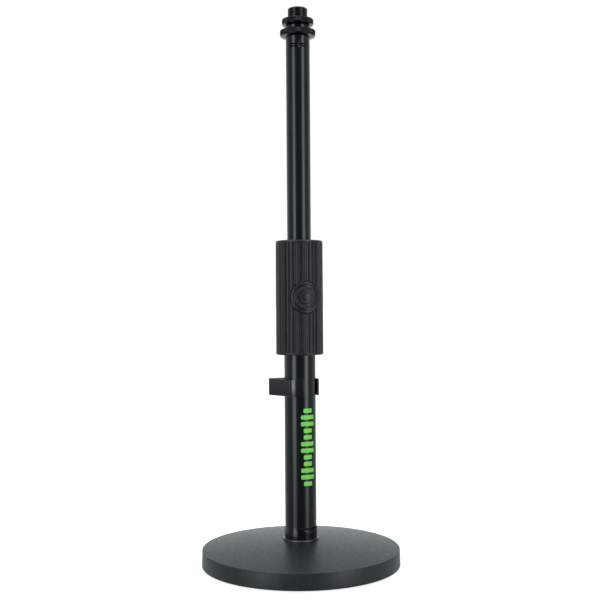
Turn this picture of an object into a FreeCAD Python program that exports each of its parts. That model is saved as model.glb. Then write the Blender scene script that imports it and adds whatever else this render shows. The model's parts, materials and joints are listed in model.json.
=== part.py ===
import FreeCAD, Part

import math
import os

import Sketcher

# Desktop microphone stand: a weighted round base, a 1 inch lower tube, a twist clutch
# and a sliding mast with a 5/8 inch microphone thread.
#
# Frame: millimetres, +Z up along the tube, origin on the tube's axis in the plane that
# the stand rests on. The front of the stand faces -Y. Angles about the tube are counted
# from the front, towards +X.

ORIGIN = FreeCAD.Vector(0, 0, 0)
UP = FreeCAD.Vector(0, 0, 1)
DOME_EDGE = 10  # the edge of the base's outline that is the dome

DIMENSIONS = [
    # base
    ("base_radius", 80.0),
    ("base_top_radius", 79.6),
    ("casting_bottom", 1.0),
    ("base_rim_top", 14.2),
    ("base_hub_top", 20.8),
    ("base_hub_radius", 14.9),
    ("dome_radius", 520.0),
    ("base_edge_round", 1.3),
    ("base_foot_chamfer", 0.5),
    ("base_recess_radius", 67.0),
    ("base_boss_radius", 14.0),
    ("base_boss_bottom", 3.0),
    ("base_recess_top", 6.5),
    ("ring_groove_inner", 69.9),
    ("ring_groove_outer", 76.1),
    ("ring_groove_top", 3.1),
    ("ring_inner", 70.0),
    ("ring_outer", 76.0),
    ("ring_top", 3.0),
    ("ring_edge_round", 0.6),
    # screw joint between base and foot
    ("stud_radius", 7.35),
    ("stud_hole_radius", 7.4),
    ("stud_bottom", 4.5),
    ("stud_chamfer", 1.0),
    ("washer_inner", 8.2),
    ("washer_radius", 14.25),
    ("washer_edge_round", 0.5),
    # lower tube
    ("tube_radius", 12.7),
    ("tube_bore", 11.5),
    ("tube_bottom", 22.3),
    ("tube_top", 233.0),
    ("swell_radius", 13.25),
    ("swell_end", 28.5),
    ("swell_fade", 33.5),
    ("foot_edge_round", 0.4),
    ("slit_bottom", 31.1),
    ("slit_height", 1.0),
    ("slit_start", -13.0),
    ("slit_sweep", 103.0),
    ("tab_sweep", 87.0),
    ("tab_mouth_radius", 13.65),
    ("tab_bottom", 25.5),
    ("tab_depth_radius", 12.15),
    ("insert_radius", 11.47),
    ("insert_top", 38.0),
    ("insert_groove_radius", 10.2),
    ("insert_groove_top", 32.6),
    ("insert_groove_bottom", 25.0),
    ("insert_chamfer", 0.8),
    # printed bars on the lower tube
    ("mark_thickness", 0.05),
    ("mark_centre_angle", 29.0),
    ("mark_bottom", 65.6),
    ("mark_pitch", 5.3),
    ("mark_bar_height", 3.4),
    ("mark_bars", 12.0),
    ("mark_waves", 1.5),
    ("mark_shortest", 4.4),
    ("mark_longest", 12.4),
    # cable clip
    ("clip_bottom", 136.9),
    ("clip_height", 13.7),
    ("clip_bore", 12.8),
    ("clip_thickness", 2.0),
    ("clip_front_end", 14.0),
    ("clip_crease", -33.0),
    ("clip_corner_x", -21.3),
    ("clip_corner_y", 6.5),
    ("clip_corner_radius", 3.3),
    ("clip_lip_start", 125.0),
    ("clip_lip_end", 88.0),
    ("clip_lip_radius", 17.0),
    ("clip_edge_bevel", 0.25),
    # mouth of the lower tube
    ("mouth_outer", 11.48),
    ("running_bore", 9.75),
    ("mouth_bottom", 216.5),
    ("mouth_flange_radius", 12.4),
    ("mouth_flange_top", 234.5),
    # clutch
    ("clutch_bore", 12.72),
    ("clutch_bottom", 205.0),
    ("clutch_flange_radius", 15.1),
    ("clutch_flange_top", 211.0),
    ("clutch_thread_radius", 14.6),
    ("clutch_shoulder", 234.8),
    ("clutch_throat_radius", 10.4),
    ("seat_bottom", 238.3),
    ("seat_top_radius", 13.0),
    ("clutch_top", 244.0),
    ("pin_height", 208.0),
    ("pin_radius", 1.5),
    ("pin_hole_radius", 1.52),
    ("pin_inner_end", 11.6),
    ("pin_outer_end", 15.0),
    ("collet_bottom", 238.7),
    ("collet_toe_radius", 10.35),
    ("collet_radius", 12.6),
    ("collet_waist_bottom", 243.6),
    ("collet_waist_top", 247.2),
    ("collet_head_radius", 11.0),
    ("collet_top", 250.8),
    ("collet_gap_half", 0.8),
    ("thrust_radius", 12.9),
    ("thrust_bottom", 248.2),
    ("thrust_cone_top", 251.7),
    ("thrust_cone_radius", 11.1),
    ("thrust_cone_mouth", 12.6),
    ("thrust_bore", 10.0),
    ("thrust_top", 253.2),
    ("shell_radius", 16.5),
    ("shell_bottom", 170.6),
    ("shell_top", 261.6),
    ("shell_skirt_bore", 15.5),
    ("shell_thread_bottom", 213.0),
    ("shell_thread_bore", 14.65),
    ("shell_thread_top", 244.6),
    ("shell_chamber_bore", 13.25),
    ("shell_shoulder", 253.5),
    ("shell_throat", 10.1),
    ("wiper_seat_bore", 12.5),
    ("wiper_seat", 258.4),
    ("wiper_radius", 12.47),
    ("end_ring_bore", 12.78),
    ("end_ring_radius", 15.47),
    ("end_ring_top", 176.0),
    # grip sleeve
    ("grip_bottom", 170.0),
    ("grip_top", 262.0),
    ("grip_bore", 16.53),
    ("grip_top_radius", 18.95),
    ("grip_bottom_radius", 19.2),
    ("grip_top_round", 1.4),
    ("grip_bottom_round", 0.9),
    ("flute_count", 36.0),
    ("flute_radius", 0.95),
    ("flute_centre_radius", 19.55),
    ("badge_radius", 12.0),
    ("badge_pocket_radius", 12.1),
    ("badge_angle", 16.4),
    ("badge_reach", 30.0),
    ("badge_height", 216.0),
    ("badge_seat_radius", 17.6),
    ("badge_back_radius", 17.62),
    ("badge_face_radius", 19.0),
    # mast
    ("mast_radius", 9.7),
    ("mast_bore", 8.5),
    ("mast_bottom", 201.0),
    ("mast_top", 428.1),
    ("mast_slit_bottom", 418.1),
    ("mast_slit_sweep", 70.0),
    ("mast_groove_radius", 9.2),
    ("stop_bottom", 214.6),
    ("stop_thickness", 1.6),
    ("stop_radius", 11.2),
    ("stop_inner", 9.22),
    ("stop_gap_half", 2.0),
    ("stop_side_gap", 0.02),
    ("guide_radius", 11.44),
    ("guide_bottom", 201.4),
    ("guide_top", 214.2),
    ("plug_radius", 8.47),
    ("plug_flange_radius", 11.0),
    ("plug_bottom", 199.2),
    ("plug_top", 212.0),
    ("plug_bore", 5.5),
    # head
    ("head_plug_bottom", 404.0),
    ("head_groove_radius", 7.3),
    ("head_groove_bottom", 416.0),
    ("head_groove_top", 421.0),
    ("collar_bore", 8.5),
    ("collar_radius", 14.35),
    ("collar_bevel_radius", 13.7),
    ("collar_bevel_bottom", 427.2),
    ("collar_face_bottom", 428.2),
    ("collar_face_top", 432.0),
    ("collar_top", 432.2),
    ("collar_skirt_bore", 9.74),
    ("collar_skirt_radius", 10.2),
    ("collar_skirt_bottom", 426.6),
    ("collar_edge_round", 0.5),
    ("neck_radius", 9.7),
    ("neck_top", 436.5),
    ("relief_radius", 7.75),
    ("relief_top", 441.3),
    ("thread_radius", 7.9375),
    ("thread_top", 450.2),
    ("thread_chamfer", 1.0),
    ("nut_bore", 8.0),
    ("lock_washer_bottom", 436.6),
    ("lock_washer_top", 437.0),
    ("lock_washer_radius", 12.4),
    ("nut_bottom", 437.1),
    ("nut_top", 441.2),
    ("nut_radius", 12.75),
    ("nut_top_round", 0.9),
    ("nut_bottom_round", 0.4),
    ("knurl_radius", 0.45),
    ("knurl_centre_radius", 12.9),
    ("knurl_count", 60.0),
    # how far cutting shapes run past what they cut
    ("overcut", 1.5),
    ("tall", 500.0),
]

os.makedirs("parts", exist_ok=True)
doc = FreeCAD.newDocument("DesktopMicStand")
sheet = doc.addObject("Spreadsheet::Sheet", "Dims")
for row, (alias, number) in enumerate(DIMENSIONS, start=1):
    sheet.set(f"A{row}", alias)
    sheet.set(f"B{row}", str(number))
    sheet.setAlias(f"B{row}", alias)
doc.recompute()


def size(text):
    """The value of a sum of dimensions and numbers, such as 'tube_top - 2'."""
    total = 0.0
    sign = 1
    for word in text.split():
        if word in ("+", "-"):
            sign = 1 if word == "+" else -1
        else:
            total += sign * (sheet.get(word) if word.isidentifier() else float(word))
    return total


def bound(text):
    """The same sum as an expression on the sheet's cells."""
    return " ".join(f"Dims.{word}" if word.isidentifier() else word for word in text.split())


def bind(thing, **properties):
    """Tie properties of an object to the sheet."""
    for name, text in properties.items():
        thing.setExpression(name, bound(text))


# ---------------------------------------------------------------- building blocks


def new_body(label):
    body = doc.addObject("PartDesign::Body", label)
    body.Label = label
    return body


def new_sketch(body, name, plane="XZ_Plane", turn=0.0):
    """A sketch on one of the body's origin planes, turned about the tube by an angle."""
    sketch = body.newObject("Sketcher::SketchObject", f"{body.Label}_{name}")
    support = next(f for f in body.Origin.OriginFeatures if f.Role == plane)
    sketch.AttachmentSupport = [(support, "")]
    sketch.MapMode = "FlatFace"
    local_up = FreeCAD.Vector(0, 1, 0) if plane == "XZ_Plane" else UP
    sketch.AttachmentOffset = FreeCAD.Placement(ORIGIN, FreeCAD.Rotation(local_up, turn))
    return sketch


def pin_down(sketch, edge, end, across, along):
    """Hold one end of an edge at a place given by two sums of dimensions."""
    for kind, axis_id, text in (("DistanceX", -2, across), ("DistanceY", -1, along)):
        if text == "0":
            sketch.addConstraint(Sketcher.Constraint("PointOnObject", edge, end, axis_id))
            continue
        rule = sketch.addConstraint(Sketcher.Constraint(kind, -1, 1, edge, end, size(text)))
        sketch.setExpression(f"Constraints[{rule}]", bound(text))


def draw_outline(sketch, points, bulge=None):
    """A closed outline through (radius, height) sums; bulge = (edge number, radius)."""
    places = [FreeCAD.Vector(size(r), size(z), 0) for r, z in points]
    for number, start in enumerate(places):
        stop = places[(number + 1) % len(places)]
        if bulge and bulge[0] == number:
            sketch.addGeometry(bulged_edge(start, stop, size(bulge[1])), False)
        else:
            sketch.addGeometry(Part.LineSegment(start, stop), False)
    ends = [(number, 1, 2) for number in range(len(places))]
    if bulge:
        ends[bulge[0]] = (bulge[0], 2, 1)
        rule = sketch.addConstraint(Sketcher.Constraint("Radius", bulge[0], size(bulge[1])))
        sketch.setExpression(f"Constraints[{rule}]", bound(bulge[1]))
    for (number, _, stop), (after, start, _) in zip(ends, ends[1:] + ends[:1]):
        sketch.addConstraint(Sketcher.Constraint("Coincident", number, stop, after, start))
    for (number, start, _), (across, along) in zip(ends, points):
        pin_down(sketch, number, start, across, along)


def bulged_edge(start, stop, radius):
    """An arc from start, falling clockwise round to stop."""
    chord = stop - start
    middle = (start + stop) * 0.5
    below = FreeCAD.Vector(chord.y, -chord.x, 0).normalize()
    centre = middle + below * math.sqrt(radius ** 2 - (chord.Length / 2) ** 2)
    first = math.atan2(stop.y - centre.y, stop.x - centre.x)
    last = math.atan2(start.y - centre.y, start.x - centre.x)
    return Part.ArcOfCircle(Part.Circle(centre, UP, radius), first, last)


def revolve(body, points, bulge=None):
    """Turn an outline of (radius, height) sums a full circle about the tube's axis."""
    sketch = new_sketch(body, "outline")
    draw_outline(sketch, points, bulge)
    solid = body.newObject("PartDesign::Revolution", f"{body.Label}_turned")
    solid.Profile = sketch
    solid.ReferenceAxis = (sketch, ["V_Axis"])
    solid.Angle = 360
    doc.recompute()
    return solid


def turned_piece(label, points, bulge=None):
    body = new_body(label)
    revolve(body, points, bulge)
    return body


def tube_outline(bore, outer, bottom, top):
    return [(bore, bottom), (outer, bottom), (outer, top), (bore, top)]


def rims(body, radius, height):
    """Names of the circular edges of that radius at that height."""
    found = []
    for number, edge in enumerate(body.Shape.Edges, start=1):
        curve = edge.Curve
        if not isinstance(curve, Part.Circle):
            continue
        if abs(curve.Radius - size(radius)) < 1e-3 and abs(curve.Center.z - size(height)) < 1e-3:
            found.append(f"Edge{number}")
    return found


def dress(body, kind, amount, *places):
    """Fillet or chamfer the rims at (radius, height) places."""
    before = body.Shape.Volume
    base = body.Tip
    edges = [name for place in places for name in rims(body, *place)]
    feature = body.newObject(f"PartDesign::{kind}", f"{body.Label}_{kind.lower()}")
    feature.Base = (base, edges)
    bind(feature, **{"Radius" if kind == "Fillet" else "Size": amount})
    doc.recompute()
    check_change(body, before)


def check_change(body, before):
    """A cut that misses the solid is a mistake."""
    if abs(body.Shape.Volume - before) < 1e-4:
        raise RuntimeError(f"the last feature of {body.Label} changes nothing")


def cut_slit(body, name, points, sweep, middle_angle):
    """Groove an outline of (radius, height) sums over part of a turn, front and back."""
    for side, angle in (("front", middle_angle), ("back", middle_angle + 180)):
        before = body.Shape.Volume
        sketch = new_sketch(body, f"{side}_{name}", turn=angle - 90)
        draw_outline(sketch, points)
        groove = body.newObject("PartDesign::Groove", f"{body.Label}_{side}_{name}_cut")
        groove.Profile = sketch
        groove.ReferenceAxis = (sketch, ["V_Axis"])
        groove.Midplane = True
        bind(groove, Angle=sweep)
        doc.recompute()
        check_change(body, before)


def circle_sketch(body, name, plane, turn, radius, across, along):
    sketch = new_sketch(body, name, plane, turn)
    centre = FreeCAD.Vector(size(across), size(along), 0)
    sketch.addGeometry(Part.Circle(centre, UP, size(radius)), False)
    rule = sketch.addConstraint(Sketcher.Constraint("Radius", 0, size(radius)))
    sketch.setExpression(f"Constraints[{rule}]", bound(radius))
    pin_down(sketch, 0, 3, across, along)
    return sketch


def cut_cross_hole(body, name, radius, height):
    """Drill straight through both walls along Y."""
    before = body.Shape.Volume
    sketch = circle_sketch(body, name, "XZ_Plane", 0, radius, "0", height)
    pocket = body.newObject("PartDesign::Pocket", f"{body.Label}_{name}_cut")
    pocket.Profile = sketch
    pocket.Type = "ThroughAll"
    pocket.Midplane = True
    doc.recompute()
    check_change(body, before)


def cut_flutes(body, radius, centre_radius, count):
    """Equal upright flutes all round the outside, each a round cut."""
    before = body.Shape.Volume
    sketch = circle_sketch(body, "flute", "XY_Plane", 0, radius, centre_radius, "0")
    flute = body.newObject("PartDesign::Pocket", f"{body.Label}_flute_cut")
    flute.Profile = sketch
    flute.Type = "ThroughAll"
    flute.Midplane = True
    doc.recompute()
    pattern = body.newObject("PartDesign::PolarPattern", f"{body.Label}_flutes")
    pattern.Originals = [flute]
    pattern.Axis = (sketch, ["N_Axis"])
    pattern.Angle = 360
    bind(pattern, Occurrences=count)
    body.Tip = pattern
    doc.recompute()
    check_change(body, before)


# ---------------------------------------------------------------- base and foot


def base_casting():
    """Domed disc with a groove for the rubber ring and a threaded hub."""
    body = turned_piece("base_casting", [
        ("stud_hole_radius", "base_boss_bottom"), ("base_boss_radius", "base_boss_bottom"),
        ("base_boss_radius", "base_recess_top"), ("base_recess_radius", "base_recess_top"),
        ("base_recess_radius", "casting_bottom"), ("ring_groove_inner", "casting_bottom"),
        ("ring_groove_inner", "ring_groove_top"), ("ring_groove_outer", "ring_groove_top"),
        ("ring_groove_outer", "casting_bottom"), ("base_radius", "casting_bottom"),
        ("base_top_radius", "base_rim_top"), ("base_hub_radius", "base_hub_top"),
        ("stud_hole_radius", "base_hub_top"),
    ], bulge=(DOME_EDGE, "dome_radius"))
    dress(body, "Fillet", "base_edge_round", ("base_top_radius", "base_rim_top"))
    dress(body, "Chamfer", "base_foot_chamfer", ("base_radius", "casting_bottom"))
    return body


def base_rubber_ring():
    body = turned_piece("base_rubber_ring",
                        tube_outline("ring_inner", "ring_outer", "0", "ring_top"))
    dress(body, "Fillet", "ring_edge_round", ("ring_inner", "0"), ("ring_outer", "0"))
    return body


def foot_washer():
    body = turned_piece("foot_washer",
                        tube_outline("washer_inner", "washer_radius", "base_hub_top", "tube_bottom"))
    dress(body, "Fillet", "washer_edge_round", ("washer_radius", "tube_bottom"))
    return body


def foot_insert():
    """Plug in the tube's foot, grooved for the crimp, with the stud below it."""
    body = turned_piece("foot_insert", [
        ("0", "stud_bottom"), ("stud_radius", "stud_bottom"), ("stud_radius", "tube_bottom"),
        ("insert_radius", "tube_bottom"), ("insert_radius", "insert_groove_bottom"),
        ("insert_groove_radius", "insert_groove_bottom"),
        ("insert_groove_radius", "insert_groove_top"),
        ("insert_radius", "insert_groove_top"), ("insert_radius", "insert_top"),
        ("0", "insert_top"),
    ])
    dress(body, "Chamfer", "stud_chamfer", ("stud_radius", "stud_bottom"))
    dress(body, "Chamfer", "insert_chamfer", ("insert_radius", "insert_top"))
    return body


# ---------------------------------------------------------------- lower tube


def lower_tube():
    """Tube with a swollen foot, a crimp slit and the pressed-in tab under the slit."""
    body = turned_piece("lower_tube", [
        ("tube_bore", "tube_bottom"), ("swell_radius", "tube_bottom"),
        ("swell_radius", "swell_end"), ("tube_radius", "swell_fade"),
        ("tube_radius", "tube_top"), ("tube_bore", "tube_top"),
    ])
    dress(body, "Fillet", "foot_edge_round", ("swell_radius", "tube_bottom"))
    middle = size("slit_start") + size("slit_sweep") / 2
    slit = tube_outline("tube_bore - overcut", "swell_radius + overcut", "slit_bottom",
                        "slit_bottom + slit_height")
    cut_slit(body, "slit", slit, "slit_sweep", middle)
    tab = [("tab_mouth_radius", "tab_bottom"), ("tab_mouth_radius", "slit_bottom"),
           ("tab_depth_radius", "slit_bottom"), ("swell_radius", "tab_bottom")]
    cut_slit(body, "tab", tab, "tab_sweep", middle)
    cut_cross_hole(body, "pin_hole", "pin_hole_radius", "pin_height")
    return body


def tube_marking():
    """A column of printed bars whose widths rise and fall, as on a level meter."""
    bars = []
    count = round(size("mark_bars"))
    radius = size("tube_radius")
    film = size("mark_thickness")
    for number in range(count):
        swing = abs(math.sin(math.pi * 2 * size("mark_waves") * (number + 0.5) / count))
        width = size("mark_shortest") + swing * (size("mark_longest") - size("mark_shortest"))
        sweep = math.degrees(width / radius)
        bottom = FreeCAD.Vector(0, 0, size("mark_bottom") + number * size("mark_pitch"))
        outer = Part.makeCylinder(radius + film, size("mark_bar_height"), bottom, UP, sweep)
        inner = Part.makeCylinder(radius, size("mark_bar_height"), bottom, UP, sweep)
        bar = outer.cut(inner)
        bar.rotate(ORIGIN, UP, size("mark_centre_angle") - 90 - sweep / 2)
        bars.append(bar)
    marking = doc.addObject("Part::Feature", "tube_marking")
    marking.Shape = Part.Compound(bars)
    marking.Placement = FreeCAD.Placement()
    return marking


def mouth_bushing():
    """Plastic bushing in the tube's mouth, with a flange on the tube's end."""
    return turned_piece("mouth_bushing", [
        ("running_bore", "mouth_bottom"), ("mouth_outer", "mouth_bottom"),
        ("mouth_outer", "tube_top"), ("mouth_flange_radius", "tube_top"),
        ("mouth_flange_radius", "mouth_flange_top"), ("running_bore", "mouth_flange_top"),
    ])


# ---------------------------------------------------------------- cable clip


def clip_side(offset):
    """One face of the clip's band, seen from above: its edges from front end to back end.

    The band hugs the tube's front and runs out to the rounded corner of a teardrop loop,
    which holds the cable. From there it comes back to the tube, hugs its back and ends at
    the right in a lip that stands a little off the tube. The outer face is creased where
    the loop starts, and the inner face runs off the tube without a crease.
    """
    middle = size("clip_bore") + size("clip_thickness") / 2
    hug = middle + offset
    bend = size("clip_corner_radius") + offset
    corner = FreeCAD.Vector(size("clip_corner_x"), size("clip_corner_y"), 0)

    def spoke(centre, radius, angle):
        turn = math.radians(angle)
        return centre + FreeCAD.Vector(math.cos(turn), math.sin(turn), 0) * radius

    def arc(centre, radius, first, last):
        middle_angle = (first + last) / 2
        return Part.Arc(spoke(centre, radius, first), spoke(centre, radius, middle_angle),
                        spoke(centre, radius, last)).toShape()

    bearing = math.degrees(math.atan2(corner.y, corner.x))
    lean = math.degrees(math.acos((hug - bend) / corner.Length))
    back_angle = bearing - lean
    wall_angle = bearing + lean
    front_angle = wall_angle - 360
    if offset > 0:
        front_angle = size("clip_crease") - 90
        run = corner - spoke(ORIGIN, hug, front_angle)
        wall_angle = math.degrees(math.atan2(run.y, run.x) + math.asin(bend / run.Length)) + 90
    leave_angle = size("clip_lip_start") - 90
    lip = size("clip_lip_radius")
    lip_centre = spoke(ORIGIN, middle - lip, leave_angle)
    return [
        arc(ORIGIN, hug, size("clip_front_end") - 90, front_angle),
        Part.LineSegment(spoke(ORIGIN, hug, front_angle),
                         spoke(corner, bend, wall_angle)).toShape(),
        arc(corner, bend, wall_angle, back_angle),
        Part.LineSegment(spoke(corner, bend, back_angle), spoke(ORIGIN, hug, back_angle)).toShape(),
        arc(ORIGIN, hug, back_angle, leave_angle),
        arc(lip_centre, lip + offset, leave_angle, size("clip_lip_end") - 90),
    ]


def cable_clip():
    """Snap-on loop of springy plastic: a band of even thickness."""
    half = size("clip_thickness") / 2
    outside = clip_side(half)
    inside = clip_side(-half)
    caps = [Part.LineSegment(outside[end].Vertexes[end].Point,
                             inside[end].Vertexes[end].Point).toShape() for end in (0, -1)]
    outline = Part.Wire(Part.sortEdges(outside + inside + caps)[0])
    band = Part.Face(outline).extrude(UP * size("clip_height"))
    level = [edge for edge in band.Edges
             if abs(edge.tangentAt(edge.FirstParameter).z) < 1e-6]
    clip = doc.addObject("Part::Feature", "cable_clip")
    clip.Shape = band.makeChamfer(size("clip_edge_bevel"), level)
    clip.Placement = FreeCAD.Placement(UP * size("clip_bottom"), FreeCAD.Rotation())
    return clip


# ---------------------------------------------------------------- clutch


def clutch_body():
    """Threaded sleeve on the tube's top, with a conical seat for the collet."""
    body = turned_piece("clutch_body", [
        ("clutch_bore", "clutch_bottom"), ("clutch_flange_radius", "clutch_bottom"),
        ("clutch_flange_radius", "clutch_flange_top"),
        ("clutch_thread_radius", "clutch_flange_top"), ("clutch_thread_radius", "clutch_top"),
        ("seat_top_radius", "clutch_top"), ("clutch_throat_radius", "seat_bottom"),
        ("clutch_throat_radius", "clutch_shoulder"), ("clutch_bore", "clutch_shoulder"),
    ])
    cut_cross_hole(body, "pin_hole", "pin_hole_radius", "pin_height")
    return body


def clutch_pins():
    """Two short pins through the clutch body and the tube, front and back."""
    pins = []
    for number, turn in enumerate((90, -90)):
        pin = doc.addObject("Part::Cylinder", f"pin_{number}")
        bind(pin, Radius="pin_radius", Height="pin_outer_end - pin_inner_end")
        spin = FreeCAD.Rotation(FreeCAD.Vector(1, 0, 0), turn)
        start = spin.multVec(FreeCAD.Vector(0, 0, size("pin_inner_end")))
        pin.Placement = FreeCAD.Placement(start + UP * size("pin_height"), spin)
        pins.append(pin)
    both = doc.addObject("Part::Compound", "clutch_pins")
    both.Links = pins
    return both


def cut_gap(body, half, reach, bottom, top):
    """Open a split ring on one side with an upright gap."""
    before = body.Shape.Volume
    sketch = new_sketch(body, "gap")
    draw_outline(sketch, [(f"0 - {half}", bottom), (half, bottom), (half, top),
                          (f"0 - {half}", top)])
    pocket = body.newObject("PartDesign::Pocket", f"{body.Label}_gap_cut")
    pocket.Profile = sketch
    bind(pocket, Length=reach)
    doc.recompute()
    check_change(body, before)


def clutch_collet():
    """Split ring, tapered both ways, that closes on the mast."""
    body = turned_piece("clutch_collet", [
        ("running_bore", "collet_bottom"), ("collet_toe_radius", "collet_bottom"),
        ("collet_radius", "collet_waist_bottom"), ("collet_radius", "collet_waist_top"),
        ("collet_head_radius", "collet_top"), ("running_bore", "collet_top"),
    ])
    cut_gap(body, "collet_gap_half", "collet_radius + overcut",
            "collet_bottom - overcut", "collet_top + overcut")
    return body


def thrust_ring():
    return turned_piece("thrust_ring", [
        ("thrust_cone_mouth", "thrust_bottom"), ("thrust_radius", "thrust_bottom"),
        ("thrust_radius", "thrust_top"), ("thrust_bore", "thrust_top"),
        ("thrust_bore", "thrust_cone_top"), ("thrust_cone_radius", "thrust_cone_top"),
    ])


def clutch_nut():
    """The shell that the hand turns: skirt, thread, collet chamber and throat."""
    return turned_piece("clutch_nut", [
        ("shell_skirt_bore", "shell_bottom"), ("shell_radius", "shell_bottom"),
        ("shell_radius", "shell_top"), ("wiper_seat_bore", "shell_top"),
        ("wiper_seat_bore", "wiper_seat"), ("shell_throat", "wiper_seat"),
        ("shell_throat", "shell_shoulder"), ("shell_chamber_bore", "shell_shoulder"),
        ("shell_chamber_bore", "shell_thread_top"), ("shell_thread_bore", "shell_thread_top"),
        ("shell_thread_bore", "shell_thread_bottom"), ("shell_skirt_bore", "shell_thread_bottom"),
    ])


def nut_end_ring():
    return turned_piece("nut_end_ring", tube_outline("end_ring_bore", "end_ring_radius",
                                                     "shell_bottom", "end_ring_top"))


def wiper_ring():
    return turned_piece("wiper_ring", tube_outline("running_bore", "wiper_radius",
                                                   "wiper_seat", "shell_top"))


# ---------------------------------------------------------------- grip


def badge_rod(radius):
    """A round bar pointing outwards at the badge's place."""
    turn = math.radians(size("badge_angle") - 90)
    outwards = FreeCAD.Vector(math.cos(turn), math.sin(turn), 0)
    return Part.makeCylinder(size(radius), size("badge_reach"), UP * size("badge_height"), outwards)


def grip_sleeve():
    """Fluted rubber sleeve with a round pocket for the badge."""
    body = turned_piece("grip_sleeve_blank", [
        ("grip_bore", "grip_bottom"), ("grip_bottom_radius", "grip_bottom"),
        ("grip_top_radius", "grip_top"), ("grip_bore", "grip_top"),
    ])
    dress(body, "Fillet", "grip_top_round", ("grip_top_radius", "grip_top"))
    dress(body, "Fillet", "grip_bottom_round", ("grip_bottom_radius", "grip_bottom"))
    cut_flutes(body, "flute_radius", "flute_centre_radius", "flute_count")
    pocket = badge_rod("badge_pocket_radius").cut(
        Part.makeCylinder(size("badge_seat_radius"), size("tall")))
    sleeve = doc.addObject("Part::Feature", "grip_sleeve")
    sleeve.Shape = body.Shape.cut(pocket)
    sleeve.Placement = FreeCAD.Placement()
    return sleeve


def grip_badge():
    """Round medallion, curved like the sleeve."""
    shape = badge_rod("badge_radius").common(Part.makeCylinder(size("badge_face_radius"), size("tall")))
    badge = doc.addObject("Part::Feature", "grip_badge")
    badge.Shape = shape.cut(Part.makeCylinder(size("badge_back_radius"), size("tall")))
    badge.Placement = FreeCAD.Placement()
    return badge


# ---------------------------------------------------------------- mast


def upper_tube():
    """The mast's tube, with a snap ring groove below and a crimp slit near the top."""
    body = turned_piece("upper_tube", [
        ("mast_bore", "mast_bottom"), ("mast_radius", "mast_bottom"),
        ("mast_radius", "stop_bottom"), ("mast_groove_radius", "stop_bottom"),
        ("mast_groove_radius", "stop_bottom + stop_thickness"),
        ("mast_radius", "stop_bottom + stop_thickness"),
        ("mast_radius", "mast_top"), ("mast_bore", "mast_top"),
    ])
    slit = tube_outline("mast_bore - overcut", "mast_radius + overcut", "mast_slit_bottom",
                        "mast_slit_bottom + slit_height")
    cut_slit(body, "slit", slit, "mast_slit_sweep", 0)
    return body


def guide_bushing():
    return turned_piece("guide_bushing", tube_outline("running_bore", "guide_radius",
                                                      "guide_bottom", "guide_top"))


def stop_ring():
    body = turned_piece("stop_ring", tube_outline(
        "stop_inner", "stop_radius", "stop_bottom + stop_side_gap",
        "stop_bottom + stop_thickness - stop_side_gap"))
    cut_gap(body, "stop_gap_half", "stop_radius + overcut", "stop_bottom - overcut",
            "stop_bottom + stop_thickness + overcut")
    return body


def mast_end_plug():
    return turned_piece("mast_end_plug", [
        ("plug_bore", "plug_bottom"), ("plug_flange_radius", "plug_bottom"),
        ("plug_flange_radius", "mast_bottom"), ("plug_radius", "mast_bottom"),
        ("plug_radius", "plug_top"), ("plug_bore", "plug_top"),
    ])


def thread_insert():
    """Plug crimped in the mast's top, with the neck and the relieved microphone thread."""
    body = turned_piece("thread_insert", [
        ("0", "head_plug_bottom"), ("plug_radius", "head_plug_bottom"),
        ("plug_radius", "head_groove_bottom"), ("head_groove_radius", "head_groove_bottom"),
        ("head_groove_radius", "head_groove_top"), ("plug_radius", "head_groove_top"),
        ("plug_radius", "collar_top"), ("neck_radius", "collar_top"),
        ("neck_radius", "neck_top"), ("relief_radius", "neck_top"),
        ("relief_radius", "relief_top"), ("thread_radius", "relief_top"),
        ("thread_radius", "thread_top"), ("0", "thread_top"),
    ])
    dress(body, "Chamfer", "thread_chamfer", ("thread_radius", "thread_top"))
    return body


def top_collar():
    """Ring with a bevelled underside that runs down to the mast's end."""
    body = turned_piece("top_collar", [
        ("collar_skirt_bore", "collar_skirt_bottom"),
        ("collar_skirt_radius", "collar_skirt_bottom"),
        ("collar_bevel_radius", "collar_bevel_bottom"), ("collar_radius", "collar_face_bottom"),
        ("collar_radius", "collar_face_top"), ("neck_radius", "collar_top"),
        ("collar_bore", "collar_top"), ("collar_bore", "mast_top"),
        ("collar_skirt_bore", "mast_top"),
    ])
    dress(body, "Fillet", "collar_edge_round", ("collar_radius", "collar_face_bottom"),
          ("collar_radius", "collar_face_top"))
    return body


def lock_washer():
    return turned_piece("lock_washer", tube_outline("nut_bore", "lock_washer_radius",
                                                    "lock_washer_bottom", "lock_washer_top"))


def lock_nut():
    body = turned_piece("lock_nut", tube_outline("nut_bore", "nut_radius",
                                                 "nut_bottom", "nut_top"))
    dress(body, "Fillet", "nut_bottom_round", ("nut_radius", "nut_bottom"))
    dress(body, "Fillet", "nut_top_round", ("nut_radius", "nut_top"))
    cut_flutes(body, "knurl_radius", "knurl_centre_radius", "knurl_count")
    return body


# ---------------------------------------------------------------- export

PIECES = [
    base_casting, base_rubber_ring, foot_washer, foot_insert, lower_tube, tube_marking,
    mouth_bushing, cable_clip, clutch_body, clutch_pins, clutch_collet, thrust_ring,
    clutch_nut, nut_end_ring, wiper_ring, grip_sleeve, grip_badge, upper_tube,
    guide_bushing, stop_ring, mast_end_plug, thread_insert, top_collar, lock_washer, lock_nut,
]


def check(nodes):
    for thing in doc.Objects:
        if "Invalid" in thing.State or "Error" in thing.State:
            raise RuntimeError(f"{thing.Label} did not recompute: {thing.State}")
    for node in nodes:
        if node.Shape.isNull() or not node.Shape.isValid():
            raise RuntimeError(f"{node.Label} has no valid shape")


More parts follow.
